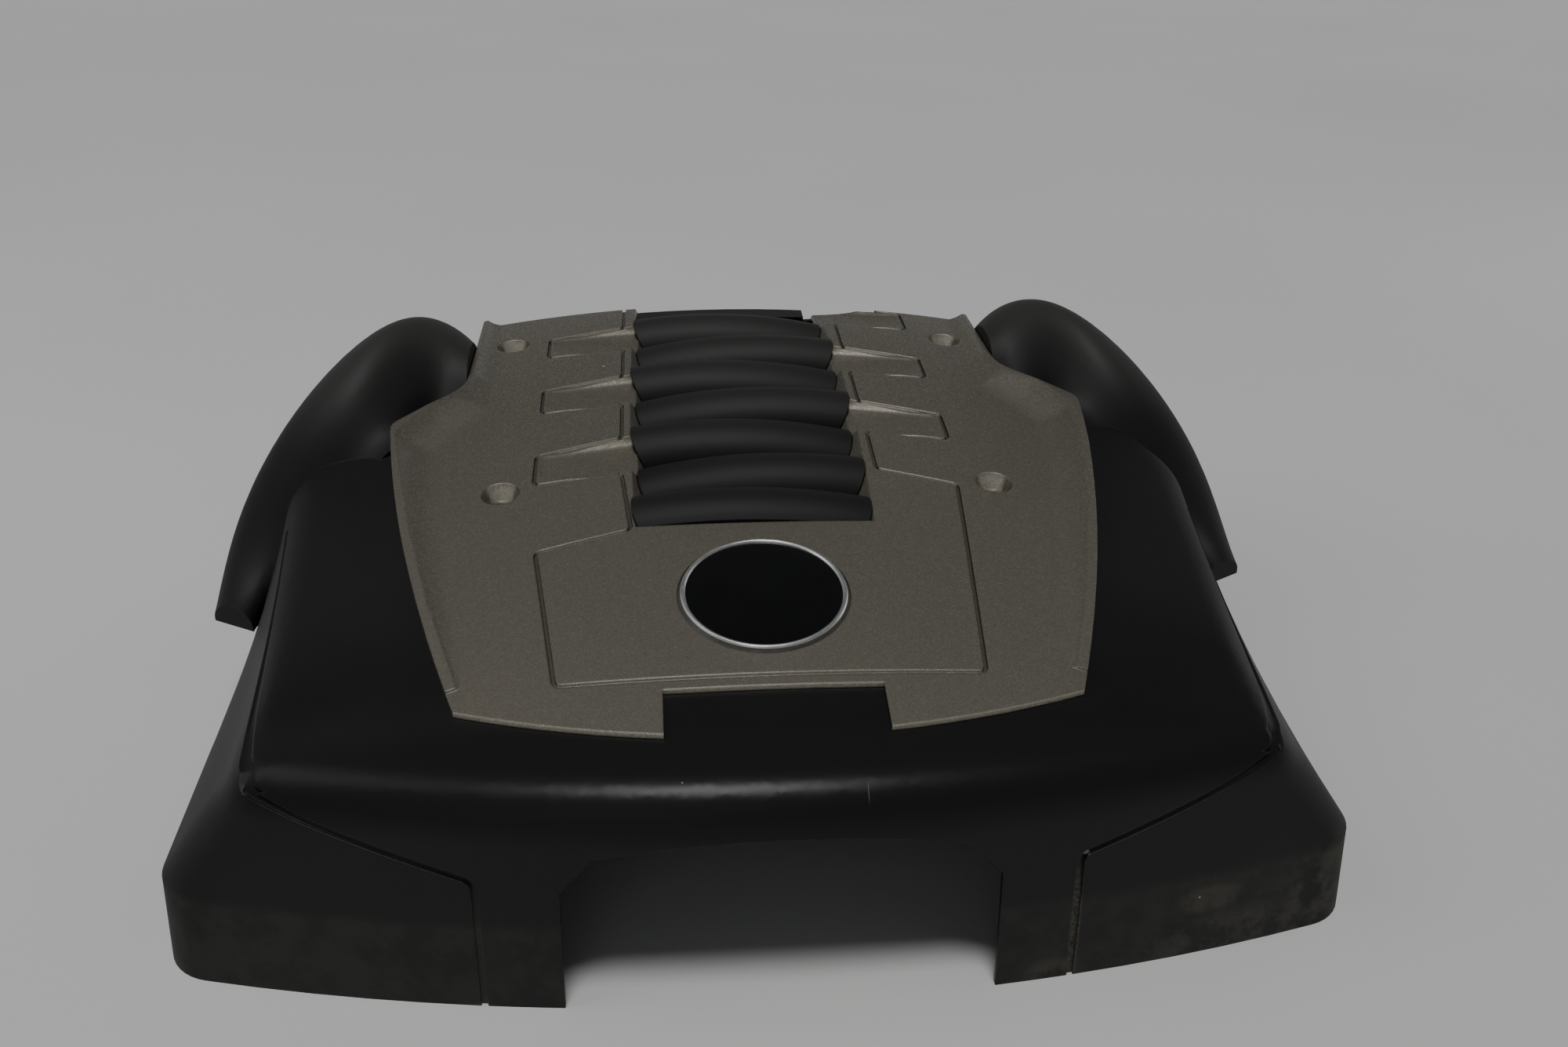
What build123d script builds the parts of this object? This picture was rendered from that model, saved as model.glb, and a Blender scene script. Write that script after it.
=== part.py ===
"""Engine cover of a car: a black moulded cover, a painted trim panel, a plain badge and the fixings.

Millimetres, +Z up, the front of the engine towards -Y.  The cover stands on its legs at z = 0.
"""
import math
import os

from build123d import *

# Crown: the gently domed surface that the top of the trim panel follows
crown_height = 152.0
crown_slope = 7.66
crown_length_radius = 1900.0
crown_cross_radius = 1770.0
crown_reach = 330.0
crown_sweep = 24.0
crown_below = 40.0

# Main cover: plan outline at the floor, at the crease and high above, joined by straight walls
wall = 3.0
crease_height = 42.0
high_level = 180.0
cover_rear = 235.0
rear_arc_radius = 711.0
rear_corner_x = 165.0
floor_front = -239.5
floor_front_radius = 1040.0
floor_corner_x = 280.0
crease_front = -236.0
crease_front_radius = 1000.0
crease_corner_x = 279.0
high_front = -223.5
high_front_radius = 397.0
high_corner_x = 176.5
low_flank = (284.0, 45.0)
low_shoulder = (240.0, 150.0)
high_flank = (240.0, 35.0)
high_shoulder = (205.0, 145.0)
shoulder_round = 26.0
corner_round = 28.0
flank_round = 60.0

# Rear wings: two arched arms that leave the top at the waist and fall forwards along the flanks
bank_stagger = 20.0
# Stations along a wing: plan x and y, heading x and y, half width, height of the arch, crest and base levels,
# and how far the soft inner flank runs out on to the top, or nothing where the wing is a plain arch
wing_stations = [
    (150.0, 132.0, 1.0, 0.0, 40.0, 40.0, 167.0, 100.0, 55.0),
    (205.0, 137.0, 0.97, -0.25, 42.0, 42.0, 194.0, 2.0, 64.0),
    (238.6, 84.0, 0.68, -0.73, 34.0, 34.0, 170.0, 2.0, 42.0),
    (274.0, 53.0, 0.47, -0.88, 24.0, 24.0, 114.0, 40.0, 0.0),
    (287.0, 10.0, 0.5, -0.87, 14.0, 10.0, 76.0, 64.0, 0.0),
]
wing_sink = 1.0
wing_tip_wall = 3.0
wing_foot = 12.0

# Step line: a narrow groove over the front legs and along the flanks, as points of its middle line
step_width = 3.0
step_depth = 1.4
step_round = 6.0
step_front = [(132.5, -10.0), (133.5, 64.0), (211.0, 86.8), (233.0, 93.5)]
step_flank = [(-193.0, 92.5), (-183.0, 98.0), (-83.5, 111.4), (0.0, 122.0)]
step_corner_y = -188.0

# Openings in the walls of the main cover
arch_half_width = 97.0
arch_height = 86.0
arch_crown = 9.0
arch_bevel_width = 15.0
arch_bevel_height = 26.0
side_gap_front = -95.0
side_gap_rear = 115.0
side_gap_height = 44.0
rear_gap_half_width = 150.0
rear_gap_height = 118.0
gap_round = 18.0

# Ribs: seven arched runners between the arms of the trim panel
rib_count = 7
rib_pitch = 39.1
rib_front_y = -30.5
rib_radius = 21.5
rib_half_length = 66.0
# Heights of the crest line above the crown: at the high end, in the middle and at the low end
rib_heights = (-1.0, 3.5, -7.0)
front_rib_heights = (2.0, 7.0, -2.0)
rib_depth = 30.0
# Hollow under a rib: half width and depth below the crest line, for each of its two steps
rib_hollow_steps = [(8.0, 4.5), (16.5, 11.5)]
rib_window_rear = 216.0

# Rib well: sloping inner skirt of the trim panel and the trough of the main cover around it
well_slope = 0.6
well_top = 40.0
well_depth = 40.0
skirt_wall = 2.5
skirt_depth = 13.0

# Trim panel
panel_thickness = 3.0
panel_front = -195.5
panel_front_radius = 417.0
panel_corner_x = 144.0
notch_half_width = 50.5
notch_rear = -166.5
panel_side_radius = 980.0
ear_x = 201.5
ear_y = 66.0
waist_x = 162.5
waist_y = 107.0
window_half_width = 63.0
window_front = -48.0
ear_round = 11.0
waist_round = 34.0
panel_rear_round = 8.0
panel_gap = 0.6
seat_gap = 0.3

# Fingers: shallow ramps in the trim panel that run down to the low ends of the ribs
finger_outer_x = 117.0
finger_outer_half = 15.0
finger_outer_shift = 2.5
tongue_x = 70.0
finger_mouth_half = 18.3
finger_mouth_shift = 14.0
finger_round = 8.0
finger_depth = 6.0
finger_end_depth = 0.4
finger_cove = 5.0
finger_wall = 2.0
finger_overlap = 12.0

# Badge
badge_y = -105.0
badge_radius = 41.0
badge_recess = 1.2
badge_ring_width = 2.6
badge_ring_height = 3.2
badge_ring_chamfer = 0.8
badge_dome = 2.6
badge_disc_edge = 2.2
badge_clearance = 1.5
badge_fit = 0.1

# Fixing points: cup in the panel, grommet and spacer sleeve in the main cover
front_fixing_x = 134.6
front_fixing_y = -8.7
rear_fixing_x = 140.8
rear_fixing_y = 178.0
cup_radius = 10.5
cup_depth = 8.0
cup_floor_radius = 7.5
sleeve_outer = 6.0
sleeve_inner = 4.2
boss_depth = 26.0
boss_radius = 17.0
boss_wall = 3.0
grommet_radius = 12.5
grommet_neck = 9.0
grommet_flange = 4.0
grommet_taper = 1.0
cup_wall = 2.0
cup_hole = 6.5

# Posts of the trim panel and the push nuts under them
post_places = [(115.0, -150.0), (70.0, -70.0), (155.0, 35.0), (150.0, 130.0)]
pad_depth = 3.0
pad_radius = 9.0
post_radius = 2.5
post_clearance = 0.3
post_end = 5.0
nut_radius = 8.0
nut_thickness = 1.2

# Raised lip of the trim panel along its bowed side, from the front: y, width of the ramp, height and flat rim
lip_side = [
    (-158.0, 14.0, 1.0, 6.0),
    (-100.0, 19.0, 4.5, 6.0),
    (-35.0, 23.0, 8.0, 6.0),
    (20.0, 26.0, 11.5, 6.0),
]
# The same round the ear and the waist: edge x and y, outward direction x and y, then as above
lip_rear = [
    (200.0, 57.0, 1.0, 0.2, 27.0, 13.0, 5.0),
    (183.0, 86.0, 0.73, 0.68, 27.0, 12.5, 2.0),
    (165.5, 106.0, 0.88, 0.47, 24.0, 11.0, 3.0),
    (162.5, 130.0, 1.0, 0.1, 20.0, 8.5, 4.0),
    (162.5, 236.0, 1.0, 0.0, 14.0, 4.5, 4.0),
]
lip_over = 8.0
lip_root = 1.5
lip_sink = 0.5
lip_step = 0.8
lip_sag = 0.28

# Groove that runs round the front plate and the fingers
groove_width = 2.2
groove_depth = 1.6
groove_round = 4.0
plate_left_x = 64.5
plate_left_y = -50.0
plate_right_y = 2.0
plate_step = 14.0
plate_rear_x = 113.0
plate_front_x = 99.5
plate_front_y = -160.0

# Longer than the part: for cuts that go right through
through = 400.0

os.makedirs("parts", exist_ok=True)


def crown_z(y, x=0.0):
    """Height of the crown surface above the floor."""
    slope = math.radians(crown_slope)
    centre_y = crown_length_radius * math.sin(slope)
    centre_z = crown_height - crown_length_radius * math.cos(slope)
    ridge = centre_z + math.sqrt(crown_length_radius**2 - (y - centre_y) ** 2)
    axis_z = crown_height - crown_cross_radius
    return axis_z + math.sqrt((ridge - axis_z) ** 2 - x**2)


def crown_block(drop):
    """Solid below the crown lowered by drop."""
    axis_z = crown_height - crown_cross_radius
    lean = math.radians(crown_sweep / 2)
    floor = crown_cross_radius - crown_height - crown_below
    across = Plane(origin=(0, 0, axis_z), x_dir=(0, 1, 0), z_dir=(math.cos(lean), 0, math.sin(lean)))

    def point(y):
        return (y, crown_z(y) - drop - axis_z)

    with BuildPart() as block:
        with BuildSketch(across):
            with BuildLine():
                ThreePointArc(point(-crown_reach), point(0), point(crown_reach))
                Polyline(point(-crown_reach), (-crown_reach, floor), (crown_reach, floor), point(crown_reach))
            make_face()
        revolve(axis=Axis((0, 0, axis_z), (0, 1, 0)), revolution_arc=crown_sweep)
    return block.part


def arc_y(start, radius, x):
    """Y of a circular front or rear edge of that radius at x, with its middle at start."""
    return start + radius - math.sqrt(radius**2 - x**2)


def rear_y(x):
    """Y of the rear edge of the cover and the trim panel at x."""
    return cover_rear - arc_y(0, rear_arc_radius, x)


def outline(level, front, front_radius, front_x, flank, shoulder, inset):
    """Closed plan outline of the main cover at one level, as a sketch."""
    corner = (front_x, arc_y(front, front_radius, front_x))
    rear_corner = (rear_corner_x, rear_y(rear_corner_x))
    with BuildSketch(Plane.XY.offset(level)) as plan:
        with BuildLine():
            front_middle = (corner[0] / 2, arc_y(front, front_radius, corner[0] / 2))
            rear_middle = (rear_corner_x / 2, rear_y(rear_corner_x / 2))
            ThreePointArc((0, front), front_middle, corner)
            Polyline(corner, flank, shoulder, rear_corner)
            ThreePointArc(rear_corner, rear_middle, (0, cover_rear))
            mirror(about=Plane.YZ)
        make_face()
        front_corners = plan.vertices().filter_by(lambda v: abs(abs(v.X) - front_x) < 0.01 and v.Y < -100)
        fillet(front_corners, corner_round)
        bends = plan.vertices().filter_by(
            lambda v: abs(abs(v.X) - flank[0]) < 0.01 or abs(abs(v.X) - shoulder[0]) < 0.01
        )
        fillet(bends, flank_round)
        if inset:
            offset(amount=-inset)
    return plan.sketch


def cover_block(inset):
    """Solid inside the walls of the main cover, each wall moved inwards by inset."""
    low_side = (low_flank, low_shoulder, inset)
    floor = outline(0, floor_front, floor_front_radius, floor_corner_x, *low_side)
    crease = outline(crease_height, crease_front, crease_front_radius, crease_corner_x, *low_side)
    high = outline(high_level, high_front, high_front_radius, high_corner_x, high_flank, high_shoulder, inset)
    with BuildPart() as block:
        loft(sections=[floor, crease], ruled=True)
        loft(sections=[crease, high], ruled=True)
        add(crown_block(panel_thickness + inset), mode=Mode.INTERSECT)
        top = block.faces().sort_by(Axis.Z)[-1]
        rim = top.edges().filter_by(lambda e: e.center().Y < 130)
        fillet(rim, shoulder_round - inset)
    return block.part


def side_x(y):
    """X of the bowed side edge of the trim panel at y."""
    corner = Vector(panel_corner_x, arc_y(panel_front, panel_front_radius, panel_corner_x))
    chord = Vector(ear_x, ear_y) - corner
    reach = math.sqrt(panel_side_radius**2 - (chord.length / 2) ** 2)
    centre = corner + chord / 2 + Vector(-chord.Y, chord.X).normalized() * reach
    return centre.X + math.sqrt(panel_side_radius**2 - (y - centre.Y) ** 2)


def panel_plan(grow=0.0):
    """Plan of the trim panel without the rib well, grown all round."""
    corner_y = arc_y(panel_front, panel_front_radius, panel_corner_x)
    bow_y = (corner_y + ear_y) / 2
    with BuildSketch() as plan:
        with BuildLine():
            ThreePointArc((-panel_corner_x, corner_y), (0, panel_front), (panel_corner_x, corner_y))
            for side in (-1, 1):
                shift = side * bank_stagger / 2
                ear = (side * side_x(ear_y + shift), ear_y + shift)
                waist = (side * waist_x, waist_y + shift)
                ThreePointArc((side * panel_corner_x, corner_y), (side * side_x(bow_y), bow_y), ear)
                Polyline(ear, waist, (side * waist_x, rear_y(waist_x)))
            ThreePointArc((-waist_x, rear_y(waist_x)), (0, cover_rear), (waist_x, rear_y(waist_x)))
        make_face()
        ears = plan.vertices().filter_by(lambda v: abs(v.X) > waist_x + 1)
        fillet(ears, ear_round)
        bends = plan.vertices().filter_by(lambda v: abs(abs(v.X) - waist_x) < 0.01)
        fillet(bends.filter_by(lambda v: v.Y < waist_y + bank_stagger), waist_round)
        fillet(bends.filter_by(lambda v: v.Y > waist_y + bank_stagger), panel_rear_round)
        if grow:
            offset(amount=grow, kind=Kind.INTERSECTION)
        with Locations((0, notch_rear - through / 2 - grow)):
            Rectangle(2 * (notch_half_width - grow), through, mode=Mode.SUBTRACT)
    return plan.sketch


def seat_room(grow):
    """Space that the trim panel takes above its seat, grown all round and downwards."""
    with BuildPart() as room:
        extrude(panel_plan(panel_gap + grow), amount=through)
        add(crown_block(panel_thickness + grow), mode=Mode.SUBTRACT)
    return room.part


def wing_block(side, inset):
    """Arched arm of one rear wing as a solid; side is -1 or 1, and inset shrinks it for the hollow."""
    shift = side * bank_stagger / 2
    foot = wing_foot if inset else 0.0
    tip = wing_stations[-1]
    with BuildPart() as wing:
        for station in wing_stations:
            x, y, ahead_x, ahead_y, half_width, arch, crest, base, toe = station
            ahead = Vector(side * ahead_x, ahead_y, 0).normalized()
            across = Vector(0, 0, 1).cross(ahead) * -side
            # The hollow stops short of the tip
            back = wing_tip_wall if inset and station == tip else 0.0
            place = Vector(side * x, y + shift, 0) - ahead * back
            half = half_width - inset
            spring = crest - arch
            low = base - foot
            inner_x, inner_z = (toe or half), spring
            with BuildSketch(Plane(origin=place, x_dir=across, z_dir=ahead * -side)):
                with BuildLine():
                    if toe:
                        levels = []
                        for reach in (toe / 2, toe):
                            foot_point = place + across * reach
                            top = crown_z(foot_point.Y, foot_point.X) - panel_thickness
                            levels.append(top - wing_sink - inset)
                        inner_z = levels[-1]
                        Bezier(
                            (0, crest - inset),
                            (toe / 2, crest - inset),
                            (toe / 2, levels[0]),
                            (toe, inner_z),
                        )
                    else:
                        EllipticalCenterArc((0, spring), half, arch - inset, start_angle=0, arc_size=90)
                    EllipticalCenterArc((0, spring), half, arch - inset, start_angle=90, arc_size=90)
                    Polyline((-half, spring), (-half, low), (inner_x, low), (inner_x, inner_z))
                make_face()
        loft()
        if inset:
            add(seat_room(wall), mode=Mode.SUBTRACT)
    return wing.part


def rib_y(index):
    """Y of a rib, counted from the front."""
    return rib_front_y + index * rib_pitch


def rib_path(index):
    """Start, middle and end of the crest line of one rib: every other rib has its low end on the left."""
    lean = 1 if index % 2 == 0 else -1
    crest = crown_z(rib_y(index))
    high, middle, low = front_rib_heights if index == 0 else rib_heights
    start = Vector(-lean * rib_half_length, rib_y(index), crest + high)
    top = Vector(0, rib_y(index), crest + middle)
    end = Vector(lean * rib_half_length, rib_y(index), crest + low)
    return start, top, end


well_tilt = math.atan2(crown_z(cover_rear) - crown_z(window_front), cover_rear - window_front)


def well_z(y):
    """Height of the straight line from the front to the rear of the rib well."""
    return crown_z(window_front) + (y - window_front) * math.tan(well_tilt)


def rib_well(grow, depth, rear):
    """Space between the arms of the trim panel: its sloping sides and its ends are moved outwards by grow."""
    front = window_front - grow
    top = window_half_width + grow + well_slope * well_top
    bottom = window_half_width + grow - well_slope * depth
    along = (0, math.cos(well_tilt), math.sin(well_tilt))
    with BuildPart() as well:
        with BuildSketch(Plane(origin=(0, front, well_z(front)), x_dir=(1, 0, 0), z_dir=along)):
            with BuildLine():
                Polyline((-top, -well_top), (top, -well_top), (bottom, depth), (-bottom, depth), close=True)
            make_face()
        extrude(amount=(rear + grow - front) / math.cos(well_tilt))
    return well.part


def rib_bank():
    """The seven arched runners side by side, cut to the rib well."""
    with BuildPart() as bank:
        for index in range(rib_count):
            with BuildLine() as path:
                ThreePointArc(*[point - Vector(0, 0, rib_radius) for point in rib_path(index)])
            with BuildSketch(Plane(origin=path.line @ 0, z_dir=path.line % 0)):
                Circle(rib_radius)
            sweep(path=path.line)
        add(rib_well(-panel_gap, well_depth, cover_rear), mode=Mode.INTERSECT)
        add(crown_block(rib_depth), mode=Mode.SUBTRACT)
    return bank.part


def rib_hollows():
    """Hollows under the runners, narrow at the top and wide below, as a list of solids."""
    hollows = []
    end_wall = wall * math.hypot(1, well_slope)
    for index in range(rib_count):
        start, top, end = rib_path(index)
        left, right = sorted((start, end), key=lambda point: point.X)
        low = well_z(top.Y) - well_depth

        def reach(z):
            return window_half_width - panel_gap - end_wall - well_slope * (well_z(top.Y) - z)

        for half_width, drop in rib_hollow_steps:
            with BuildPart() as hollow:
                with BuildSketch(Plane.XZ.offset(-top.Y)):
                    with BuildLine():
                        Polyline(
                            (-reach(left.Z - drop), left.Z - drop),
                            (0, top.Z - drop),
                            (reach(right.Z - drop), right.Z - drop),
                            (reach(low), low),
                            (-reach(low), low),
                            close=True,
                        )
                    make_face()
                extrude(amount=half_width, both=True)
            hollows.append(hollow.part)
    return hollows


def finger_sides():
    """Side and rib of each finger: the low end of every rib but the first has one."""
    return [(1 if index % 2 == 0 else -1, index) for index in range(1, rib_count)]


def finger_edge(index, x, sign):
    """Y of the rear edge (sign 1) or the front edge (sign -1) of a finger at x."""
    mouth = rib_y(index) + finger_mouth_shift + sign * finger_mouth_half
    outer = rib_y(index) + finger_outer_shift + sign * finger_outer_half
    return mouth + (outer - mouth) * (x - tongue_x) / (finger_outer_x - tongue_x)


def finger_plan(side, index, grow=0.0):
    """Plan of one finger of the trim panel, from its mouth in the rib well to its rounded outer end."""
    inner = window_half_width - finger_overlap
    outer = finger_outer_x + grow
    with BuildSketch() as plan:
        with BuildLine():
            Polyline(
                (side * inner, finger_edge(index, inner, -1) - grow),
                (side * outer, finger_edge(index, outer, -1) - grow),
                (side * outer, finger_edge(index, outer, 1) + grow),
                (side * inner, finger_edge(index, inner, 1) + grow),
                close=True,
            )
        make_face()
        ends = plan.vertices().filter_by(lambda v: abs(v.X) > finger_outer_x - 1)
        fillet(ends, finger_round + grow)
    return plan.sketch


def finger_block(side, index, grow):
    """Solid above the sloping floor of one finger, grown sideways and downwards."""
    y = rib_y(index) + finger_mouth_shift
    mouth_z = crown_z(y, window_half_width) - finger_depth - grow
    outer_z = crown_z(y, finger_outer_x) - finger_end_depth - grow
    slope_x = side * (outer_z - mouth_z) / (finger_outer_x - window_half_width)
    slope_y = (crown_z(y + 10) - crown_z(y - 10)) / 20
    mouth = (side * window_half_width, y, mouth_z)
    with BuildPart() as block:
        with BuildSketch(Plane(origin=mouth, x_dir=(1, 0, slope_x), z_dir=(-slope_x, -slope_y, 1))):
            Rectangle(through, through)
        extrude(amount=well_top)
        extrude(finger_plan(side, index, grow), amount=through, mode=Mode.INTERSECT)
        # Hollow curve from the floor up to the rear wall of the finger itself
        if not grow:
            floor_edges = block.faces().sort_by(Axis.Z)[0].edges()
            fillet(floor_edges.sort_by(Axis.Y)[-1], finger_cove)
    return block.part


def finger_blocks(grow):
    """All the fingers, as a list of solids."""
    return [finger_block(side, index, grow) for side, index in finger_sides()]


on_base = (Align.CENTER, Align.CENTER, Align.MIN)
under_floor = (Align.CENTER, Align.CENTER, Align.MAX)
fixings = {
    "front_left": (-front_fixing_x, front_fixing_y),
    "front_right": (front_fixing_x, front_fixing_y),
    "rear_left": (-rear_fixing_x, rear_fixing_y),
    "rear_right": (rear_fixing_x, rear_fixing_y),
}
posts = [(side * x, y) for x, y in post_places for side in (-1, 1)]


def boss_floor(x, y):
    """Height of the top of the boss floor that carries the grommet."""
    return crown_z(y, abs(x)) - boss_depth


def cup_floor(x, y):
    """Height of the floor of a fixing cup in the trim panel."""
    return crown_z(y, abs(x)) - cup_depth


def post_seat(x, y):
    """Height of the flat pad under the crown where a push nut sits."""
    return crown_z(y, abs(x)) - panel_thickness - wall - pad_depth


badge_slope = math.atan((crown_z(badge_y + 5) - crown_z(badge_y - 5)) / 10)
badge_centre = Vector(0, badge_y, crown_z(badge_y))
badge_up = Vector(0, -math.sin(badge_slope), math.cos(badge_slope))
badge_plane = Plane(origin=badge_centre + badge_up * badge_recess, x_dir=(1, 0, 0), z_dir=badge_up)
badge_foot = badge_centre - badge_up * badge_recess
badge_section = Plane(origin=badge_foot, x_dir=(1, 0, 0), z_dir=Vector(1, 0, 0).cross(badge_up))
badge_axis = Axis(badge_foot, badge_up)


def lip_stations(side):
    """Edge point, outward direction, ramp width, height and rim width at each station of one lip."""
    stations = []
    for y, width, height, rim in lip_side:
        slope = side_x(y + 1) - side_x(y)
        stations.append((Vector(side * side_x(y), y), Vector(side, -slope), width, height, rim))
    for x, y, out_x, out_y, width, height, rim in lip_rear:
        edge = Vector(side * x, y + side * bank_stagger / 2)
        stations.append((edge, Vector(side * out_x, out_y), width, height, rim))
    return stations


def lip_block(side):
    """Raised lip on one side of the trim panel: a hollow-curved ramp with a flat rim, highest at the ear."""
    with BuildPart() as ramp:
        for edge, outward, width, height, rim in lip_stations(side):
            out = outward.normalized()
            foot = Vector(edge.X, edge.Y, crown_z(edge.Y, edge.X))
            fall = crown_z(edge.Y + out.Y, edge.X + out.X) - foot.Z
            brow = height - lip_step
            sag = lip_sag * (brow + lip_sink) - lip_sink
            with BuildSketch(Plane(origin=foot, x_dir=(out.X, out.Y, fall), z_dir=(out.Y, -out.X, 0))):
                with BuildLine():
                    ThreePointArc((-width, -lip_sink), (-(width + rim) / 2, sag), (-rim, brow))
                    Polyline(
                        (-rim, brow),
                        (lip_step - rim, height),
                        (lip_over, height),
                        (lip_over, -lip_root),
                        (-width, -lip_root),
                        (-width, -lip_sink),
                    )
                make_face()
        loft(ruled=True)
        extrude(panel_plan(), amount=through, mode=Mode.INTERSECT)
    return ramp.part


panel_window = rib_well(0, well_depth, cover_rear + rib_pitch)

# Under the trim panel: trays of the fingers, walls of the fixing cups and the skirt of the rib well
with BuildPart() as trays:
    add(finger_blocks(finger_wall))
    with Locations([(x, y, cup_floor(x, y) - cup_wall) for x, y in fixings.values()]):
        Cylinder(cup_radius + cup_wall, 2 * cup_depth, align=on_base)
    add(rib_well(skirt_wall, skirt_depth, rib_window_rear - skirt_wall - panel_gap))
    add(crown_block((panel_thickness + groove_depth) / 2), mode=Mode.INTERSECT)
    extrude(panel_plan(), amount=through, mode=Mode.INTERSECT)
    add(panel_window, mode=Mode.SUBTRACT)
panel_trays = trays.part


def groove_points(side):
    """Run of the groove on one side of the panel, from the rear edge to the front plate."""
    run = [(side * tongue_x, cover_rear + rib_pitch)]
    indices = [index for finger_side, index in finger_sides() if finger_side == side]
    for index in reversed(indices):
        run.append((side * tongue_x, finger_edge(index, tongue_x, 1)))
        run.append((side * finger_outer_x, finger_edge(index, finger_outer_x, 1)))
        run.append((side * finger_outer_x, finger_edge(index, finger_outer_x, -1)))
        run.append((side * tongue_x, finger_edge(index, tongue_x, -1)))
    return run


with BuildPart() as groove_cut:
    with BuildSketch():
        with BuildLine():
            left = groove_points(-1)
            right = groove_points(1)
            plate = [
                (-plate_left_x, plate_left_y),
                (-plate_rear_x, plate_left_y - plate_step),
                (-plate_front_x, plate_front_y),
                (plate_front_x, plate_front_y),
                (plate_rear_x, plate_right_y - plate_step),
                (tongue_x, plate_right_y),
            ]
            FilletPolyline(left + plate + right[::-1], radius=groove_round)
        trace(line_width=groove_width)
    extrude(amount=through)
    add(crown_block(groove_depth), mode=Mode.SUBTRACT)
groove = groove_cut.part

# Outside of the trough that holds the skirt of the trim panel
trough_grow = skirt_wall + panel_gap
trough_depth = skirt_depth + panel_gap
with BuildPart() as trough:
    add(rib_well(trough_grow + wall, trough_depth + wall, rib_window_rear))
    add(crown_block(panel_thickness), mode=Mode.INTERSECT)
rib_trough = trough.part

# Clear space for the trim panel
with BuildPart() as clearance:
    add(seat_room(0))
    add(rib_well(-panel_gap, well_depth, cover_rear + rib_pitch), mode=Mode.SUBTRACT)
panel_clearance = clearance.part

# Step line over the front legs and along the flanks
with BuildPart() as step_cut:
    for side in (-1, 1):
        with BuildSketch(Plane.XZ.offset(-step_corner_y)):
            with BuildLine():
                FilletPolyline([(side * x, z) for x, z in step_front], radius=step_round)
            trace(line_width=step_width)
        extrude(amount=through)
        with BuildSketch(Plane.YZ):
            with BuildLine():
                FilletPolyline(step_flank, radius=step_round)
            trace(line_width=step_width)
        extrude(amount=side * through)
    add(cover_block(step_depth), mode=Mode.SUBTRACT)
step_line = step_cut.part

with BuildPart() as main_cover:
    add(cover_block(0))
    add(step_line, mode=Mode.SUBTRACT)
    add([wing_block(side, 0) for side in (-1, 1)])
    add(cover_block(wall), mode=Mode.SUBTRACT)
    add([wing_block(side, wall) for side in (-1, 1)], mode=Mode.SUBTRACT)
    # Nothing of the wings reaches below the floor
    Box(2 * through, 2 * through, through, align=under_floor, mode=Mode.SUBTRACT)
    # Front arch between the legs
    with BuildSketch(Plane.XZ):
        with BuildLine():
            Polyline(
                (-arch_half_width + arch_bevel_width, arch_height - arch_crown),
                (-arch_half_width, arch_height - arch_bevel_height),
                (-arch_half_width, -1),
                (arch_half_width, -1),
                (arch_half_width, arch_height - arch_bevel_height),
                (arch_half_width - arch_bevel_width, arch_height - arch_crown),
            )
            ThreePointArc(
                (arch_half_width - arch_bevel_width, arch_height - arch_crown),
                (0, arch_height),
                (-arch_half_width + arch_bevel_width, arch_height - arch_crown),
            )
        make_face()
    extrude(amount=through, mode=Mode.SUBTRACT)
    # Gaps under the flanks and under the rear edge
    with BuildSketch(Plane.YZ):
        with Locations(((side_gap_front + side_gap_rear) / 2, side_gap_height / 2 - gap_round)):
            RectangleRounded(side_gap_rear - side_gap_front, side_gap_height + 2 * gap_round, gap_round)
    extrude(amount=through, both=True, mode=Mode.SUBTRACT)
    with BuildSketch(Plane.XZ):
        with Locations((0, rear_gap_height / 2 - gap_round)):
            RectangleRounded(2 * rear_gap_half_width, rear_gap_height + 2 * gap_round, gap_round)
    extrude(amount=-through, mode=Mode.SUBTRACT)
    # Trough round the rib well, room for the fingers of the trim panel, and the ribs
    add(rib_trough)
    add(rib_well(trough_grow, trough_depth, rib_window_rear), mode=Mode.SUBTRACT)
    add(finger_blocks(finger_wall + panel_gap), mode=Mode.SUBTRACT)
    add(rib_bank())
    add(rib_hollows(), mode=Mode.SUBTRACT)
    # Bosses for the fixings and pads for the posts of the trim panel
    with Locations([(x, y, boss_floor(x, y) - boss_wall) for x, y in fixings.values()]):
        Cylinder(boss_radius, boss_depth + boss_wall - panel_thickness, align=on_base)
    with Locations([(x, y, boss_floor(x, y)) for x, y in fixings.values()]):
        Cylinder(boss_radius - boss_wall, 2 * boss_depth, align=on_base, mode=Mode.SUBTRACT)
    with Locations([(x, y, boss_floor(x, y)) for x, y in fixings.values()]):
        Cylinder(grommet_neck, 2 * boss_wall, mode=Mode.SUBTRACT)
    with Locations([(x, y, post_seat(x, y)) for x, y in posts]):
        Cylinder(pad_radius, pad_depth + wall / 2, align=on_base)
    # Clear space for the trim panel and its posts
    add(panel_clearance, mode=Mode.SUBTRACT)
    with Locations([(x, y, post_seat(x, y)) for x, y in posts]):
        Cylinder(post_radius + post_clearance, 10 * pad_depth, mode=Mode.SUBTRACT)
main_cover.part.label = "main_cover"
export_step(main_cover.part, "parts/main_cover.step")

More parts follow.
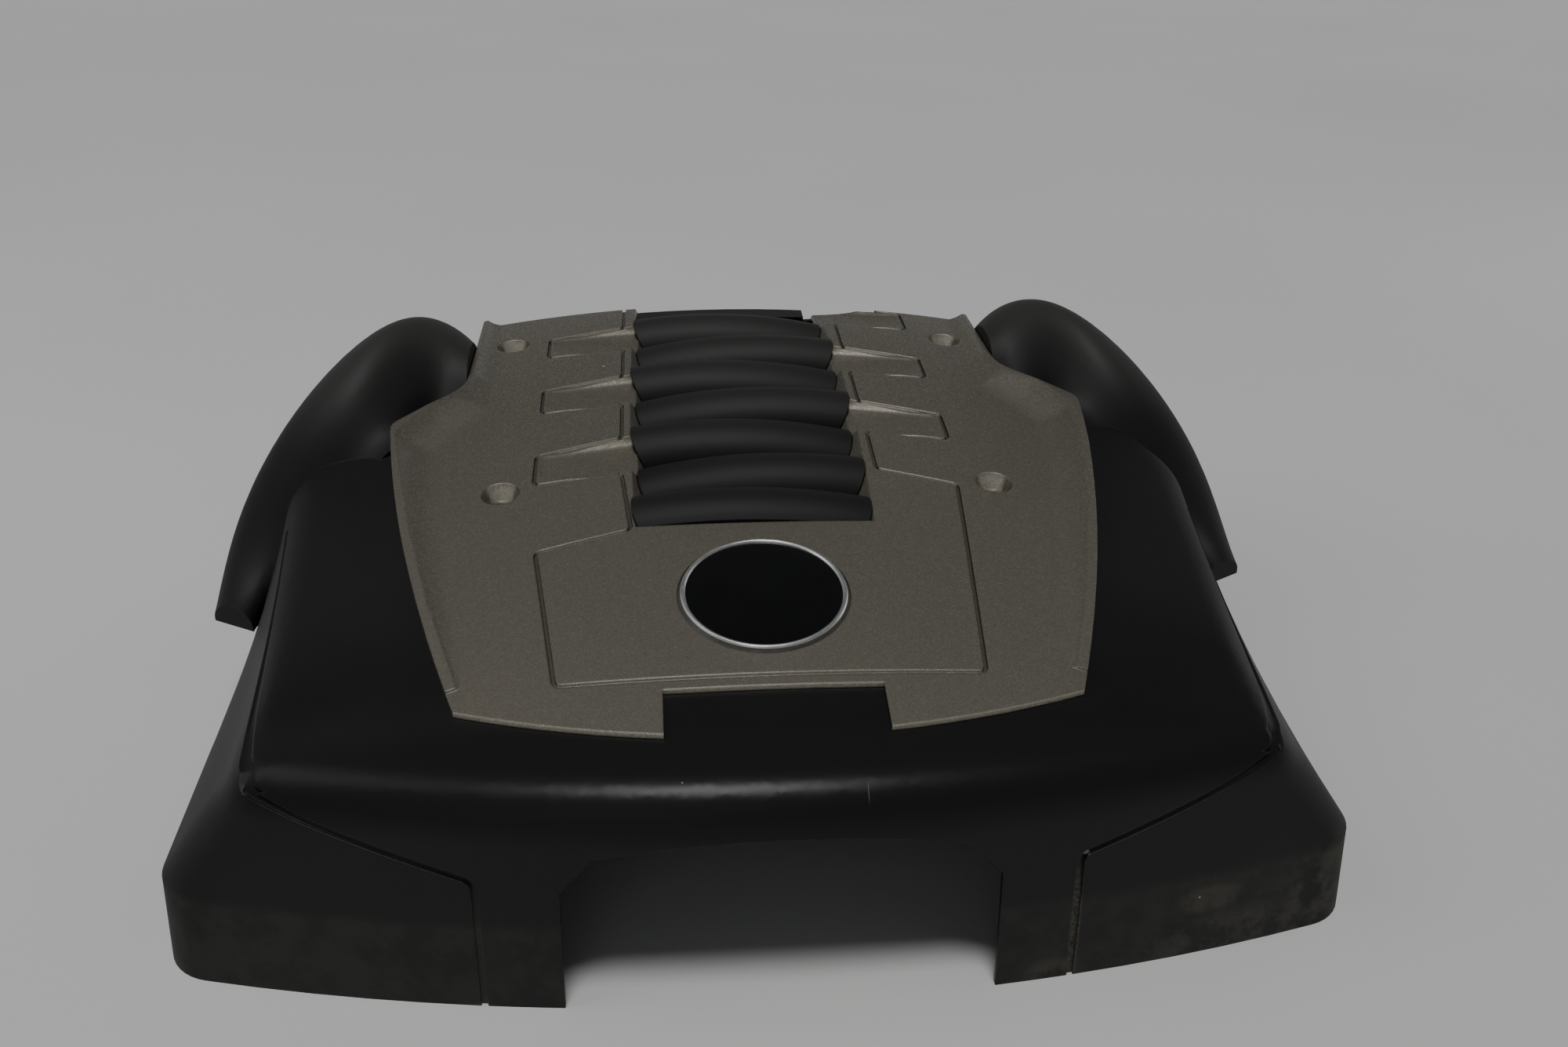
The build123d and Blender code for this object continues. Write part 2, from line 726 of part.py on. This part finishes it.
with BuildPart() as trim_panel:
    extrude(panel_plan(), amount=through)
    add(crown_block(0), mode=Mode.INTERSECT)
    add(crown_block(panel_thickness - seat_gap), mode=Mode.SUBTRACT)
    add([lip_block(-1), lip_block(1)])
    add(groove, mode=Mode.SUBTRACT)
    add(panel_trays)
    add(panel_window, mode=Mode.SUBTRACT)
    add(finger_blocks(0), mode=Mode.SUBTRACT)
    with Locations([(x, y, cup_floor(x, y)) for x, y in fixings.values()]):
        Cone(cup_floor_radius, cup_radius, cup_depth, align=on_base, mode=Mode.SUBTRACT)
    with Locations([(x, y, cup_floor(x, y) + cup_depth) for x, y in fixings.values()]):
        Cylinder(cup_radius, cup_depth, align=on_base, mode=Mode.SUBTRACT)
    with Locations([(x, y, cup_floor(x, y)) for x, y in fixings.values()]):
        Cylinder(cup_hole, 4 * cup_wall, mode=Mode.SUBTRACT)
    with Locations([(x, y, post_seat(x, y) - post_end) for x, y in posts]):
        Cylinder(post_radius, post_end + pad_depth + wall + panel_thickness / 2, align=on_base)
    with BuildSketch(badge_plane):
        Circle(badge_radius + badge_clearance)
    extrude(amount=-2 * badge_recess, mode=Mode.SUBTRACT)
trim_panel.part.label = "trim_panel"
export_step(trim_panel.part, "parts/trim_panel.step")

# Badge: a bright ring around a plain domed disc
with BuildPart() as badge_ring:
    with BuildSketch(badge_section):
        with BuildLine():
            inner = badge_radius - badge_ring_width
            shoulder = badge_ring_height - badge_ring_chamfer
            Polyline(
                (inner, 0),
                (badge_radius, 0),
                (badge_radius, shoulder),
                (badge_radius - badge_ring_chamfer, badge_ring_height),
                (inner + badge_ring_chamfer, badge_ring_height),
                (inner, shoulder),
                close=True,
            )
        make_face()
    revolve(axis=badge_axis)
badge_ring.part.label = "badge_ring"
export_step(badge_ring.part, "parts/badge_ring.step")

with BuildPart() as badge_disc:
    with BuildSketch(badge_section):
        with BuildLine():
            edge = badge_radius - badge_ring_width - badge_fit
            dome_radius = (edge**2 + badge_dome**2) / (2 * badge_dome)
            centre = badge_disc_edge + badge_dome - dome_radius
            rim_angle = math.degrees(math.atan2(badge_disc_edge - centre, edge))
            Polyline((0, badge_disc_edge + badge_dome), (0, 0), (edge, 0), (edge, badge_disc_edge))
            CenterArc((0, centre), dome_radius, rim_angle, 90 - rim_angle)
        make_face()
    revolve(axis=badge_axis)
badge_disc.part.label = "badge_disc"
export_step(badge_disc.part, "parts/badge_disc.step")

# Rubber grommets in the boss floors, and steel sleeves in the grommets
for name, (x, y) in fixings.items():
    floor_top = boss_floor(x, y)
    grommet_section = Plane(origin=(x, y, floor_top), x_dir=(1, 0, 0), z_dir=(0, -1, 0))
    with BuildPart() as grommet:
        with BuildSketch(grommet_section):
            with BuildLine():
                Polyline(
                    (sleeve_outer, -boss_wall - grommet_flange),
                    (grommet_radius, -boss_wall - grommet_flange),
                    (grommet_radius, -boss_wall),
                    (grommet_neck, -boss_wall),
                    (grommet_neck, 0),
                    (grommet_radius, 0),
                    (grommet_radius - grommet_taper, grommet_flange),
                    (sleeve_outer, grommet_flange),
                    close=True,
                )
            make_face()
        revolve(axis=Axis((x, y, 0), (0, 0, 1)))
    grommet.part.label = "grommet_" + name
    export_step(grommet.part, "parts/grommet_" + name + ".step")

    with BuildPart() as sleeve:
        with BuildSketch(Plane.XY.offset(floor_top - boss_wall - grommet_flange)):
            with Locations((x, y)):
                Circle(sleeve_outer)
                Circle(sleeve_inner, mode=Mode.SUBTRACT)
        extrude(amount=boss_wall + 2 * grommet_flange)
    sleeve.part.label = "sleeve_" + name
    export_step(sleeve.part, "parts/sleeve_" + name + ".step")

# Push nuts on the posts of the trim panel
for number, (x, y) in enumerate(posts, start=1):
    with BuildPart() as push_nut:
        with BuildSketch(Plane.XY.offset(post_seat(x, y))):
            with Locations((x, y)):
                Circle(nut_radius)
                Circle(post_radius, mode=Mode.SUBTRACT)
        extrude(amount=-nut_thickness)
    push_nut.part.label = "push_nut_" + str(number)
    export_step(push_nut.part, "parts/push_nut_" + str(number) + ".step")
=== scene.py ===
"""Studio view of the engine cover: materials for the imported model, floor, light and camera."""
import math

import bpy
from mathutils import Matrix, Vector

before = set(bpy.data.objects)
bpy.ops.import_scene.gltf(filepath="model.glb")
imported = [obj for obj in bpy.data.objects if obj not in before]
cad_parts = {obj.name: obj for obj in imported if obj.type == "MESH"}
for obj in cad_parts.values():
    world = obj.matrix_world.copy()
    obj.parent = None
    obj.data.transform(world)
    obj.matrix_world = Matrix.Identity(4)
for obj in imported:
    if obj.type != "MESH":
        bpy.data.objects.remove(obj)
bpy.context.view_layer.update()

# Camera of the photograph: place in metres, angles in degrees, lens in pixels, sensor in millimetres
CAMERA_PLACE = Vector((-0.0505, -0.7189, 0.4845))
CAMERA_YAW = 5.547
CAMERA_PITCH = 26.825
CAMERA_ROLL = 1.05
FOCAL_PIXELS = 1850.0
IMAGE_WIDTH = 2000.0
SENSOR_WIDTH = 36.0
CLIP_START = 0.01

# Colours, linear
BLACK_PLASTIC = (0.0050, 0.0050, 0.0050, 1.0)
BLACK_PLASTIC_BLOOM = (0.0075, 0.0075, 0.0073, 1.0)
# Painted sheen: a lighter base colour on the nose, in place of the reflection that is lowered there
NOSE_SHEEN_PAINT = (0.0135, 0.0135, 0.0132, 1.0)
# Painted light: a lighter colour on the high, upward-facing tops of the wings
TOP_LIGHT_PAINT = (0.033, 0.033, 0.031, 1.0)
WORN_PLASTIC = (0.07, 0.07, 0.066, 1.0)
DUST_FILM = (0.02, 0.0195, 0.0165, 1.0)
DUST = (0.075, 0.072, 0.06, 1.0)
GROOVE_DUST = (0.12, 0.113, 0.085, 1.0)
PALE_CHIP = (0.45, 0.44, 0.41, 1.0)
PANEL_GREY = (0.128, 0.117, 0.092, 1.0)
PANEL_GREY_DARK = (0.116, 0.107, 0.086, 1.0)
PANEL_FLAKE = (0.27, 0.248, 0.2, 1.0)
# Painted highlight on the front-facing edges and faces of the panel
PANEL_EDGE_HIGHLIGHT = (0.55, 0.51, 0.42, 1.0)
# Painted shade, tinted brown, on the sideways faces of the panel
PANEL_SIDE_SHADE = (0.045, 0.037, 0.022, 1.0)
# Painted shade in the grooves and inner corners of the panel
PANEL_GROOVE_SHADE = (0.018, 0.0155, 0.010, 1.0)
ZINC_DARK = (0.42, 0.42, 0.40, 1.0)
ZINC_PALE = (0.55, 0.54, 0.50, 1.0)
FLOOR_GREY = (0.72, 0.72, 0.71, 1.0)
SKY_TINT = (0.75, 0.78, 0.8, 1.0)

# Roughness and reflection of the black moulding
SATIN_LOW = 0.37
SATIN_HIGH = 0.42
DULL = 0.6
DUSTY = 0.8
NOSE_SATIN = 0.29
REFLECTION = 0.32
NOSE_REFLECTION = 0.14

# Zones of the black moulding: where each begins and where it is complete, in metres
REAR_ZONE = (-0.16, -0.05)
NOSE_ZONE = (-0.17, -0.195)
NOSE_HEIGHTS = (0.078, 0.092)
FLANK_ZONE = (0.225, 0.265)
FILM_HEIGHTS = (0.045, 0.039)
TOP_LIGHT_HEIGHTS = (0.14, 0.19)

# Directions of faces: part of the unit normal where an effect begins and where it is complete
LEVEL_FACES = (0.2, 0.8)
SIDE_FACES = (0.9, 0.97)
FRONT_FACES = (-0.5, -0.8)
OTHER_FACES = (-0.7, -0.3)

# Softened edges and depth of the grooves in metres, limits of what counts as an edge or a groove
PLASTIC_ROUND = 0.0008
PANEL_ROUND = 0.0014
RING_ROUND = 0.0006
ROUND_SAMPLES = 6
EDGE_TURN = (0.99, 0.85)
GROOVE_REACH = 0.004
GROOVE_SAMPLES = 8
PLASTIC_GROOVE = (0.9, 0.5)
PANEL_GROOVE = (0.75, 0.35)
SPOT_FADE = (1.0, 0.45)

# Grain: bumps of the moulding and flakes of the paint, in cells for each metre, and their depth and tilt
PLASTIC_GRAIN = 2600.0
GRAIN_STRENGTH = 0.1
GRAIN_DEPTH = 0.0002
FLAKE_GRAIN = 2000.0
FLAKE_TILT = 0.3

# Smoothing of the facets: distance in metres, angle in degrees
WELD_DISTANCE = 0.00001
CORNER_ANGLE = 28.0

# Lamps: place and aim in metres, power in watts, side in metres; the sun's width in degrees
SKY_STRENGTH = 0.085
SUN_PLACE = (-0.05, -0.4, 2.1)
SUN_STRENGTH = 1.45
SUN_WIDTH = 16.0
LOW_AIM = (0.0, 0.0, 0.1)
REAR_AIM = (0.0, 0.1, 0.1)
SOFT_LAMPS = {
    "front": ((-0.5, -1.8, 1.2), LOW_AIM, 0.8, 0.9),
    "upper_left": ((-1.1, -0.1, 1.35), REAR_AIM, 3.0, 0.8),
    "low_left": ((-1.6, 0.6, 0.55), REAR_AIM, 0.4, 0.9),
    "low_right": ((1.6, 0.6, 0.55), REAR_AIM, 1.0, 0.9),
}

# Studio floor, in metres, and the angle in degrees through which its rim curves up
FLOOR_RADIUS = 4.0
FLOOR_SIDES = 96
COVE_RADIUS = 3.0
COVE_TURN = 80.0
COVE_STEPS = 24

# Marks on the black moulding: middle and half sizes in metres
LEG_DUST = [
    ((0.215, -0.214, 0.002), (0.062, 0.03, 0.022)),
    ((0.268, -0.195, 0.016), (0.045, 0.04, 0.036)),
    ((0.200, -0.217, 0.029), (0.022, 0.02, 0.009)),
    ((0.124, -0.231, 0.003), (0.017, 0.01, 0.010)),
]
STEP_DUST = ((0.133, -0.226, 0.026), (0.0032, 0.02, 0.042))
FAINT_STEP = ((-0.1335, -0.226, 0.012), (0.006, 0.02, 0.055))
CHIPS = [
    ((0.1358, -0.222, 0.0640), (0.0022, 0.01, 0.0012)),
    ((0.1944, -0.218, 0.0308), (0.0007, 0.01, 0.0007)),
    ((-0.0432, -0.2157, 0.1062), (0.0005, 0.0005, 0.01)),
]
SCRATCH = ((0.0363, -0.2223, 0.1022), (0.0003, 0.006, 0.006))

# Marks on the trim panel: a chip, and the front ends of its side lips, which get no painted highlight
PANEL_CHIP = ((-0.0818, 0.1349, 0.1634), (0.0012, 0.0012, 0.01))
LIP_ENDS = [
    ((-0.1445, -0.1555, 0.119), (0.016, 0.016, 0.02)),
    ((0.1455, -0.1565, 0.119), (0.016, 0.016, 0.02)),
]


class Shader:
    """A node material under construction: small helpers around one node tree."""

    def __init__(self, name):
        self.material = bpy.data.materials.new(name)
        self.material.use_nodes = True
        self.tree = self.material.node_tree
        self.surface = self.tree.nodes["Principled BSDF"]

    def node(self, kind, **inputs):
        """New node with its inputs fed by name."""
        made = self.tree.nodes.new(kind)
        for name, value in inputs.items():
            self.feed(value, made.inputs[name.replace("_", " ")])
        return made

    def feed(self, value, target):
        """Links a socket to an input, or sets the input to a value."""
        if isinstance(value, bpy.types.NodeSocket):
            self.tree.links.new(value, target)
        else:
            target.default_value = value

    def set(self, **inputs):
        """Feeds the inputs of the surface by name."""
        for name, value in inputs.items():
            self.feed(value, self.surface.inputs[name.replace("_", " ")])

    def place(self):
        """Object coordinates, in metres."""
        return self.node("ShaderNodeTexCoord").outputs["Object"]

    def parts(self, vector):
        """A vector's X, Y and Z."""
        return self.node("ShaderNodeSeparateXYZ", Vector=vector).outputs

    def facing(self):
        """X, Y and Z of the unit normal."""
        return self.parts(self.node("ShaderNodeNewGeometry").outputs["Normal"])

    def noise(self, scale, detail=4.0, roughness=0.5):
        """Cloudy noise from 0 to 1, with so many cells for each metre."""
        made = self.node("ShaderNodeTexNoise", Vector=self.place(), Scale=scale)
        self.feed(detail, made.inputs["Detail"])
        self.feed(roughness, made.inputs["Roughness"])
        return made.outputs["Fac"]

    def cells(self, scale):
        """A random colour for each cell of a fine grain."""
        return self.node("ShaderNodeTexVoronoi", Vector=self.place(), Scale=scale).outputs["Color"]

    def ramp(self, factor, start, end):
        """Colour ramp between two stops, each (position, colour)."""
        made = self.node("ShaderNodeValToRGB", Fac=factor)
        first, last = made.color_ramp.elements
        first.position, first.color = start
        last.position, last.color = end
        return made.outputs["Color"]

    def waver(self, scale, first, second):
        """Colour that wavers between two over a noise."""
        return self.ramp(self.noise(scale), (0.3, first), (0.7, second))

    def mix(self, factor, first, second):
        """Blend of two colours, each a socket or a value, by a socket."""
        made = self.node("ShaderNodeMix")
        made.data_type = "RGBA"
        self.feed(factor, made.inputs[0])
        self.feed(first, made.inputs[6])
        self.feed(second, made.inputs[7])
        return made.outputs[2]

    def layer(self, base, color, mask, share):
        """Base colour with another one over it, up to a share, where the mask is 1."""
        return self.mix(self.times(mask, share), base, color)

    def math(self, operation, first, second=0.0):
        """Result of an operation on numbers, each a socket or a value."""
        made = self.node("ShaderNodeMath")
        made.operation = operation
        self.feed(first, made.inputs[0])
        self.feed(second, made.inputs[1])
        return made.outputs[0]

    def times(self, first, second):
        """Product of two numbers."""
        return self.math("MULTIPLY", first, second)

    def vector(self, operation, first, second, output="Vector"):
        """Result of an operation on vectors, each a socket or a value."""
        made = self.node("ShaderNodeVectorMath")
        made.operation = operation
        self.feed(first, made.inputs[0])
        self.feed(second, made.inputs[1])
        return made.outputs[output]

    def fade(self, value, low, high):
        """Smooth step from 0 at low to 1 at high; low may be the larger one."""
        made = self.node("ShaderNodeMapRange", Value=value, From_Min=low, From_Max=high)
        made.interpolation_type = "SMOOTHSTEP"
        return made.outputs["Result"]

    def spot(self, middle, half_sizes):
        """1 inside a soft ellipsoid round a point, 0 outside."""
        scale = tuple(1.0 / size for size in half_sizes)
        offset = self.vector("SUBTRACT", self.place(), middle)
        reach = self.vector("LENGTH", self.vector("MULTIPLY", offset, scale), (0.0, 0.0, 0.0), "Value")
        return self.fade(reach, *SPOT_FADE)

    def spots(self, marks):
        """The strongest of several spots."""
        total = self.spot(*marks[0])
        for mark in marks[1:]:
            total = self.math("MAXIMUM", total, self.spot(*mark))
        return total

    def soft_normal(self, radius):
        """Normal with rounded edges of that radius."""
        made = self.node("ShaderNodeBevel", Radius=radius)
        made.samples = ROUND_SAMPLES
        return made.outputs["Normal"]

    def edges(self, soft_normal):
        """1 on sharp edges, 0 on smooth faces."""
        normal = self.node("ShaderNodeNewGeometry").outputs["Normal"]
        return self.fade(self.vector("DOT_PRODUCT", soft_normal, normal, "Value"), *EDGE_TURN)

    def recess(self, limits):
        """1 in narrow grooves and inner corners, 0 in the open."""
        made = self.node("ShaderNodeAmbientOcclusion", Distance=GROOVE_REACH)
        made.samples = GROOVE_SAMPLES
        return self.fade(made.outputs["AO"], *limits)

    def bump(self, height, strength, distance, normal):
        """Normal that follows a height."""
        made = self.node("ShaderNodeBump", Strength=strength, Distance=distance)
        self.feed(height, made.inputs["Height"])
        self.feed(normal, made.inputs["Normal"])
        return made.outputs["Normal"]


def gray(value):
    """Opaque neutral colour."""
    return (value, value, value, 1.0)


def black_plastic():
    """Satin black moulding with a fine grain, worn edges, dust on its legs, painted light on its tops
    and a lighter painted nose.
    """
    shader = Shader("black_plastic")
    soft = shader.soft_normal(PLASTIC_ROUND)
    grain = shader.noise(scale=700.0, detail=3.0, roughness=0.6)
    speckle = shader.fade(grain, 0.5, 0.62)
    patches = shader.fade(shader.noise(scale=70.0, detail=6.0, roughness=0.65), 0.38, 0.62)
    place = shader.parts(shader.place())
    height = place["Z"]

    rear = shader.fade(place["Y"], *REAR_ZONE)
    nose = shader.fade(place["Y"], *NOSE_ZONE)
    nose = shader.times(nose, shader.fade(height, *NOSE_HEIGHTS))
    flank = shader.fade(shader.math("ABSOLUTE", place["X"]), *FLANK_ZONE)
    film = shader.times(shader.fade(height, *FILM_HEIGHTS), shader.fade(patches, -0.8, 1.6))
    # Painted light: high faces that look upwards are made lighter
    painted_top_light = shader.fade(height, *TOP_LIGHT_HEIGHTS)
    painted_top_light = shader.times(painted_top_light, shader.fade(shader.facing()["Z"], *LEVEL_FACES))
    dust = shader.times(shader.spots(LEG_DUST), patches)
    step = shader.times(shader.spot(*STEP_DUST), shader.fade(grain, 0.35, 0.6))
    faint_step = shader.times(shader.spot(*FAINT_STEP), shader.recess(PLASTIC_GROOVE))
    wear = shader.times(shader.edges(soft), speckle)

    tone = shader.noise(scale=9.0, detail=5.0, roughness=0.6)
    color = shader.ramp(tone, (0.35, BLACK_PLASTIC), (0.75, BLACK_PLASTIC_BLOOM))
    # Painted sheen: the nose is made lighter to stand in for its lowered reflection
    color = shader.mix(nose, color, NOSE_SHEEN_PAINT)
    color = shader.mix(film, color, DUST_FILM)
    color = shader.mix(painted_top_light, color, TOP_LIGHT_PAINT)
    color = shader.layer(color, DUST, dust, share=0.7)
    color = shader.layer(color, GROOVE_DUST, step, share=0.6)
    color = shader.layer(color, GROOVE_DUST, faint_step, share=0.3)
    color = shader.layer(color, WORN_PLASTIC, wear, share=0.5)
    color = shader.layer(color, PALE_CHIP, shader.spot(*SCRATCH), share=0.2)
    color = shader.layer(color, PALE_CHIP, shader.spots(CHIPS), share=0.7)

    rough = shader.waver(23.0, gray(SATIN_LOW), gray(SATIN_HIGH))
    rough = shader.mix(shader.math("MAXIMUM", rear, flank), rough, gray(DULL))
    rough = shader.mix(nose, rough, gray(NOSE_SATIN))
    rough = shader.mix(dust, rough, gray(DUSTY))
    bumps = shader.noise(scale=PLASTIC_GRAIN, detail=2.0)
    shader.set(
        Base_Color=color,
        Roughness=rough,
        Specular_IOR_Level=shader.mix(nose, gray(REFLECTION), gray(NOSE_REFLECTION)),
        Normal=shader.bump(bumps, GRAIN_STRENGTH, GRAIN_DEPTH, soft),
    )
    return shader.material


def panel_paint():
    """Warm grey metallic paint: tilted flakes, painted highlights on the front edges, painted shade on
    the sideways faces and in the grooves.
    """
    shader = Shader("panel_paint")
    soft = shader.soft_normal(PANEL_ROUND)
    facing = shader.facing()
    # Painted shade: faces that look sideways are made dark brown
    painted_side_shade = shader.fade(shader.math("ABSOLUTE", facing["X"]), *SIDE_FACES)
    # Painted highlight: faces and rounded edges that look forward are made lighter, except at the lip
    # ends
    forward = shader.fade(shader.parts(soft)["Y"], *FRONT_FACES)
    forward = shader.times(forward, shader.fade(shader.spots(LIP_ENDS), 1.0, 0.0))
    # Painted shade: grooves and inner corners that do not face forward are darkened
    painted_groove_shade = shader.times(shader.recess(PANEL_GROOVE), shader.fade(facing["Y"], *OTHER_FACES))
    flakes = shader.cells(FLAKE_GRAIN)
    sparkle = shader.fade(flakes, 0.5, 0.95)

    color = shader.waver(6.0, PANEL_GREY_DARK, PANEL_GREY)
    color = shader.layer(color, PANEL_FLAKE, sparkle, share=0.8)
    color = shader.layer(color, PANEL_EDGE_HIGHLIGHT, forward, share=0.85)
    color = shader.layer(color, PANEL_SIDE_SHADE, painted_side_shade, share=0.85)
    color = shader.layer(color, PANEL_GROOVE_SHADE, painted_groove_shade, share=0.9)
    color = shader.mix(shader.spot(*PANEL_CHIP), color, PALE_CHIP)

    tilt = shader.vector("SCALE", shader.vector("SUBTRACT", flakes, (0.5, 0.5, 0.5)), (0.0, 0.0, 0.0))
    tilt.node.inputs["Scale"].default_value = FLAKE_TILT
    shader.set(
        Base_Color=color,
        Metallic=0.35,
        Roughness=shader.ramp(sparkle, (0.0, gray(0.55)), (1.0, gray(0.4))),
        Normal=shader.vector("NORMALIZE", shader.vector("ADD", soft, tilt), (0.0, 0.0, 0.0)),
        Coat_Weight=0.5,
        Coat_Roughness=0.2,
        Coat_Normal=soft,
    )
    return shader.material


def chrome():
    """Bright plated ring."""
    shader = Shader("chrome")
    shader.set(
        Base_Color=shader.waver(60.0, gray(0.88), gray(0.95)),
        Metallic=1.0,
        Roughness=shader.waver(300.0, gray(0.3), gray(0.37)),
        Normal=shader.soft_normal(RING_ROUND),
    )
    return shader.material


def gloss_black():
    """Deep black lacquer of the plain badge."""
    shader = Shader("gloss_black")
    shader.set(
        Base_Color=shader.waver(40.0, gray(0.003), gray(0.005)),
        Roughness=shader.waver(180.0, gray(0.06), gray(0.11)),
    )
    return shader.material


def rubber():
    """Matt black rubber with a dusty bloom."""
    shader = Shader("rubber")
    shader.set(
        Base_Color=shader.ramp(shader.noise(120.0), (0.3, gray(0.012)), (0.75, gray(0.028))),
        Roughness=shader.waver(400.0, gray(0.7), gray(0.85)),
    )
    return shader.material


def zinc():
    """Zinc-plated steel."""
    shader = Shader("zinc")
    shader.set(
        Base_Color=shader.waver(150.0, ZINC_DARK, ZINC_PALE),
        Metallic=1.0,
        Roughness=shader.waver(500.0, gray(0.3), gray(0.45)),
    )
    return shader.material


def floor_paper():
    """Pale matt studio floor."""
    shader = Shader("floor_paper")
    shader.set(Base_Color=shader.waver(2.0, gray(0.69), FLOOR_GREY), Roughness=0.9)
    return shader.material


def smooth_group():
    """Node group that joins the facets of a piece and shades them smooth up to a corner angle."""
    group = bpy.data.node_groups.new("soft_facets", "GeometryNodeTree")
    group.interface.new_socket("Geometry", in_out="INPUT", socket_type="NodeSocketGeometry")
    group.interface.new_socket("Geometry", in_out="OUTPUT", socket_type="NodeSocketGeometry")
    source = group.nodes.new("NodeGroupInput")
    result = group.nodes.new("NodeGroupOutput")
    weld = group.nodes.new("GeometryNodeMergeByDistance")
    weld.inputs["Distance"].default_value = WELD_DISTANCE
    faces = group.nodes.new("GeometryNodeSetShadeSmooth")
    edges = group.nodes.new("GeometryNodeSetShadeSmooth")
    edges.domain = "EDGE"
    edges.inputs["Shade Smooth"].default_value = False
    angle = group.nodes.new("GeometryNodeInputMeshEdgeAngle")
    corner = group.nodes.new("FunctionNodeCompare")
    corner.operation = "GREATER_THAN"
    corner.inputs[1].default_value = math.radians(CORNER_ANGLE)
    group.links.new(source.outputs[0], weld.inputs["Geometry"])
    group.links.new(weld.outputs["Geometry"], faces.inputs["Geometry"])
    group.links.new(faces.outputs["Geometry"], edges.inputs["Geometry"])
    group.links.new(angle.outputs["Unsigned Angle"], corner.inputs[0])
    group.links.new(corner.outputs["Result"], edges.inputs["Selection"])
    group.links.new(edges.outputs["Geometry"], result.inputs[0])
    return group


def dress(materials):
    """Gives each CAD node the material for its name, and smooth facets."""
    soft = smooth_group()
    for name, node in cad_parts.items():
        for start, material in materials.items():
            if name.startswith(start):
                node.data.materials.clear()
                node.data.materials.append(material)
        modifier = node.modifiers.new("soft_facets", "NODES")
        modifier.node_group = soft


def add_camera():
    """Camera with the place, direction and lens that were fitted to the photograph."""
    yaw = math.radians(CAMERA_YAW)
    pitch = math.radians(CAMERA_PITCH)
    roll = math.radians(CAMERA_ROLL)
    forward = math.cos(pitch)
    ahead = Vector((math.sin(yaw) * forward, math.cos(yaw) * forward, -math.sin(pitch)))
    level = Vector((math.cos(yaw), -math.sin(yaw), 0.0))
    upright = level.cross(ahead)
    right = math.cos(roll) * level + math.sin(roll) * upright
    up = math.cos(roll) * upright - math.sin(roll) * level
    data = bpy.data.cameras.new("camera")
    data.sensor_fit = "HORIZONTAL"
    data.sensor_width = SENSOR_WIDTH
    data.lens = FOCAL_PIXELS / IMAGE_WIDTH * SENSOR_WIDTH
    data.clip_start = CLIP_START
    camera = bpy.data.objects.new("camera", data)
    turn = Matrix((right, up, -ahead)).transposed().to_4x4()
    camera.matrix_world = Matrix.Translation(CAMERA_PLACE) @ turn
    bpy.context.scene.collection.objects.link(camera)
    bpy.context.scene.camera = camera


def add_light(name, kind, place, aim, strength, **settings):
    """Lamp at a place, turned towards a point."""
    data = bpy.data.lights.new(name, kind)
    data.energy = strength
    for setting, value in settings.items():
        setattr(data, setting, value)
    light = bpy.data.objects.new(name, data)
    direction = Vector(aim) - Vector(place)
    light.rotation_euler = direction.to_track_quat("-Z", "Y").to_euler()
    light.location = place
    bpy.context.scene.collection.objects.link(light)


def add_floor():
    """Round floor whose rim curves up, so that there is no horizon."""
    rings = [(FLOOR_RADIUS, 0.0)]
    for step in range(1, COVE_STEPS + 1):
        turn = math.radians(COVE_TURN) * step / COVE_STEPS
        radius = FLOOR_RADIUS + COVE_RADIUS * math.sin(turn)
        rings.append((radius, COVE_RADIUS * (1.0 - math.cos(turn))))
    corners = []
    for radius, height in rings:
        for side in range(FLOOR_SIDES):
            angle = 2.0 * math.pi * side / FLOOR_SIDES
            corners.append((radius * math.cos(angle), radius * math.sin(angle), height))
    faces = [tuple(range(FLOOR_SIDES))]
    for ring in range(COVE_STEPS):
        for side in range(FLOOR_SIDES):
            first = ring * FLOOR_SIDES + side
            second = ring * FLOOR_SIDES + (side + 1) % FLOOR_SIDES
            faces.append((second, first, first + FLOOR_SIDES, second + FLOOR_SIDES))
    mesh = bpy.data.meshes.new("floor")
    mesh.from_pydata(corners, [], faces)
    mesh.shade_smooth()
    mesh.polygons[0].use_smooth = False
    mesh.materials.append(floor_paper())
    floor = bpy.data.objects.new("floor", mesh)
    bpy.context.scene.collection.objects.link(floor)


def add_studio():
    """Floor, world light and soft lamps."""
    add_floor()
    world = bpy.data.worlds.new("studio")
    bpy.context.scene.world = world
    world.use_nodes = True
    background = world.node_tree.nodes["Background"]
    background.inputs["Color"].default_value = SKY_TINT
    background.inputs["Strength"].default_value = SKY_STRENGTH
    add_light("sky", "SUN", SUN_PLACE, LOW_AIM, SUN_STRENGTH, angle=math.radians(SUN_WIDTH))
    for name, (place, aim, power, side) in SOFT_LAMPS.items():
        add_light(name, "AREA", place, aim, power, size=side)


dress({
    "main_cover": black_plastic(),
    "trim_panel": panel_paint(),
    "badge_ring": chrome(),
    "badge_disc": gloss_black(),
    "grommet": rubber(),
    "sleeve": zinc(),
    "push_nut": zinc(),
})
add_camera()
add_studio()
